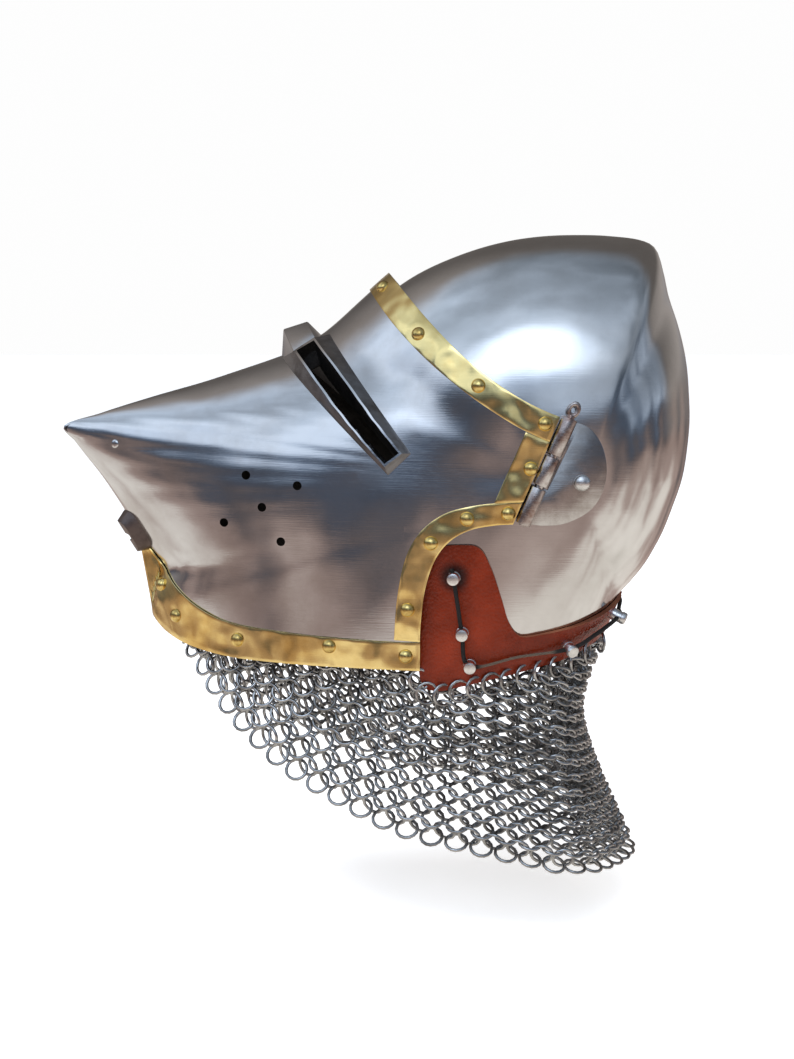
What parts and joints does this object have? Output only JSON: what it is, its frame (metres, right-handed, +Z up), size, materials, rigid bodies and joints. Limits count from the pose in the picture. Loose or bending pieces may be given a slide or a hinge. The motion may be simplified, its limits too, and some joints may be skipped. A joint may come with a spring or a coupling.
{
  "type": "visored bascinet helmet with mail aventail",
  "caption": "Steel bascinet with a pointed snout visor on side pivots, brass edging, and a mail aventail laced to a leather band below the rim.",
  "frame": {"origin": "midway between the two visor pivots, in the middle of the head", "axes": "-X is the way the wearer looks, -Y is the wearer's left, +Z is up"},
  "size_m": [0.4269, 0.2076, 0.4285],
  "materials": {
    "skull_steel": "polished raised plate with fine scratches",
    "visor_steel": "polished raised plate with fine scratches",
    "brass": "polished sheet and domed rivets",
    "hinge_steel": "ground, slightly rusted in the joints",
    "post_steel": "turned, bright",
    "leather": "waxed chestnut hide with a raw cut edge",
    "lace": "black waxed lace",
    "mail_steel": "bright round wire rings"
  },
  "bodies": {
    "helmet": {"skull": "skull_steel", "leather_band": "leather", "mail": "mail_steel", "lace": "lace", "post_1_left": "post_steel", "post_1_right": "post_steel", "post_2_left": "post_steel", "post_2_right": "post_steel", "post_3_left": "post_steel", "post_3_right": "post_steel", "post_4_left": "post_steel", "post_4_right": "post_steel", "post_5_left": "post_steel", "post_5_right": "post_steel", "pivot_rivet_left": "hinge_steel", "pivot_rivet_right": "hinge_steel"},
    "visor": {"visor": "visor_steel", "brow_band": "brass", "cheek_strip_left": "brass", "cheek_strip_right": "brass", "chin_band": "brass", "side_strip_left": "brass", "side_strip_right": "brass", "brow_rivet_1_left": "brass", "brow_rivet_1_right": "brass", "brow_rivet_2_left": "brass", "brow_rivet_2_right": "brass", "brow_rivet_3_left": "brass", "brow_rivet_3_right": "brass", "brow_rivet_4_left": "brass", "brow_rivet_4_right": "brass", "cheek_rivet_1_left": "brass", "cheek_rivet_1_right": "brass", "cheek_rivet_2_left": "brass", "cheek_rivet_2_right": "brass", "cheek_rivet_3_left": "brass", "cheek_rivet_3_right": "brass", "cheek_rivet_4_left": "brass", "cheek_rivet_4_right": "brass", "chin_rivet_1_left": "brass", "chin_rivet_1_right": "brass", "chin_rivet_2_left": "brass", "chin_rivet_2_right": "brass", "chin_rivet_3_left": "brass", "chin_rivet_3_right": "brass", "chin_rivet_4_left": "brass", "chin_rivet_4_right": "brass", "chin_rivet_5_left": "brass", "chin_rivet_5_right": "brass", "side_rivet_1_left": "brass", "side_rivet_1_right": "brass", "front_leaf_left": "hinge_steel", "front_leaf_right": "hinge_steel", "rear_leaf_left": "hinge_steel", "rear_leaf_right": "hinge_steel"},
    "pin_left": {"hinge_pin_left": "hinge_steel"},
    "pin_right": {"hinge_pin_right": "hinge_steel"}
  },
  "joints": [
    {"name": "visor_lift", "type": "hinge", "parent": "helmet", "child": "visor", "pos_m": [0, 0, 0], "axis": [0, 1, 0], "range_deg": [0, 75]},
    {"name": "pin_left_pull", "type": "slide", "parent": "visor", "child": "pin_left", "axis": [0.3986, 0, 0.9171], "range_m": [0, 0.078]},
    {"name": "pin_right_pull", "type": "slide", "parent": "visor", "child": "pin_right", "axis": [0.3986, 0, 0.9171], "range_m": [0, 0.078]}
  ]
}
